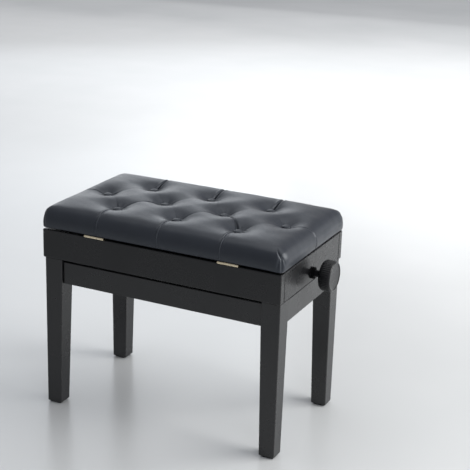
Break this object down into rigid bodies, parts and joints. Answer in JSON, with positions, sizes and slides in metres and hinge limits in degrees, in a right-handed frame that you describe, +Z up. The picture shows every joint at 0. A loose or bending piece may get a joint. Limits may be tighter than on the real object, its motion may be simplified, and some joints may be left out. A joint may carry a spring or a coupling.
{
  "type": "piano bench",
  "caption": "Height-adjustable piano bench: tapered legs, seat box with storage on a screw-driven scissor lift, and a hinged lid with a tufted cushion.",
  "frame": {"origin": "on the floor, below the middle of the bench", "axes": "+X along the bench to its right end, +Y to the rear (away from the hinges), +Z up"},
  "size_m": [0.66, 0.338, 0.466],
  "materials": {
    "black_paint": "satin",
    "bare_wood": "matte",
    "leatherette": "satin",
    "pad_plastic": "matte",
    "knob_plastic": "satin",
    "hinge_brass": "satin",
    "zinc_steel": "satin",
    "black_steel": "satin"
  },
  "bodies": {
    "base": {"leg_front_left": "black_paint", "leg_front_right": "black_paint", "leg_rear_left": "black_paint", "leg_rear_right": "black_paint", "foot_pad_front_left": "pad_plastic", "foot_pad_front_right": "pad_plastic", "foot_pad_rear_left": "pad_plastic", "foot_pad_rear_right": "pad_plastic", "apron_front": "black_paint", "apron_rear": "black_paint", "apron_left": "black_paint", "apron_right": "black_paint", "corner_block_front_left": "bare_wood", "corner_block_front_right": "bare_wood", "corner_block_rear_left": "bare_wood", "corner_block_rear_right": "bare_wood", "leg_bolt_front_left": "zinc_steel", "leg_bolt_front_right": "zinc_steel", "leg_bolt_rear_left": "zinc_steel", "leg_bolt_rear_right": "zinc_steel", "base_rail_front": "black_steel", "base_rail_rear": "black_steel", "lower_fixed_rod": "zinc_steel"},
    "seat_box": {"box_front": "black_paint", "box_rear": "black_paint", "box_left": "black_paint", "box_right": "black_paint", "box_floor": "bare_wood", "screw_bushing_left": "pad_plastic", "screw_bushing_right": "pad_plastic", "top_bracket_front": "black_steel", "top_bracket_rear": "black_steel", "hinge_box_leaf_left": "hinge_brass", "hinge_box_leaf_right": "hinge_brass"},
    "lid": {"lid_board": "black_paint", "cushion": "leatherette", "cushion_button_01": "leatherette", "cushion_button_02": "leatherette", "cushion_button_03": "leatherette", "cushion_button_04": "leatherette", "cushion_button_05": "leatherette", "cushion_button_06": "leatherette", "cushion_button_07": "leatherette", "cushion_button_08": "leatherette", "cushion_button_09": "leatherette", "cushion_button_10": "leatherette", "hinge_lid_leaf_left": "hinge_brass", "hinge_lid_leaf_right": "hinge_brass"},
    "drive_screw": {"drive_screw": "zinc_steel", "knob_left": "knob_plastic", "knob_right": "knob_plastic"},
    "outer_arms": {"outer_arm_front": "zinc_steel", "outer_arm_rear": "zinc_steel", "centre_rivet_front": "zinc_steel", "centre_rivet_rear": "zinc_steel"},
    "inner_arms": {"inner_arm_front": "zinc_steel", "inner_arm_rear": "zinc_steel", "lower_sliding_rod": "zinc_steel"},
    "trunnion_nut": {"trunnion_nut": "zinc_steel"}
  },
  "joints": [
    {"name": "seat_lift", "type": "slide", "parent": "base", "child": "seat_box", "axis": [0, 0, 1], "range_m": [0, 0.09]},
    {"name": "lid_hinge", "type": "hinge", "parent": "seat_box", "child": "lid", "pos_m": [0, -0.1638, 0.4124], "axis": [1, 0, 0], "range_deg": [0, 90]},
    {"name": "screw_turn", "type": "hinge", "parent": "seat_box", "child": "drive_screw", "pos_m": [0, 0, 0.364], "axis": [1, 0, 0], "range_deg": [0, 3431.5]},
    {"name": "outer_arm_fold", "type": "hinge", "parent": "base", "child": "outer_arms", "pos_m": [-0.165, 0, 0.306], "axis": [0, -1, 0], "range_deg": [0, 15.91]},
    {"name": "inner_arm_fold", "type": "hinge", "parent": "outer_arms", "child": "inner_arms", "pos_m": [0.00251, 0, 0.335], "axis": [0, -1, 0], "range_deg": [-31.82, 0]},
    {"name": "nut_pivot", "type": "hinge", "parent": "outer_arms", "child": "trunnion_nut", "pos_m": [0.17002, 0, 0.364], "axis": [0, -1, 0], "range_deg": [-15.91, 0]}
  ],
  "couplings": [
    {"joint": "screw_turn", "follows": "seat_lift", "rad_per_m": 665.44},
    {"joint": "outer_arm_fold", "follows": "seat_lift", "rad_per_m": 3.075},
    {"joint": "inner_arm_fold", "follows": "seat_lift", "rad_per_m": -6.15},
    {"joint": "nut_pivot", "follows": "seat_lift", "rad_per_m": -3.075}
  ]
}
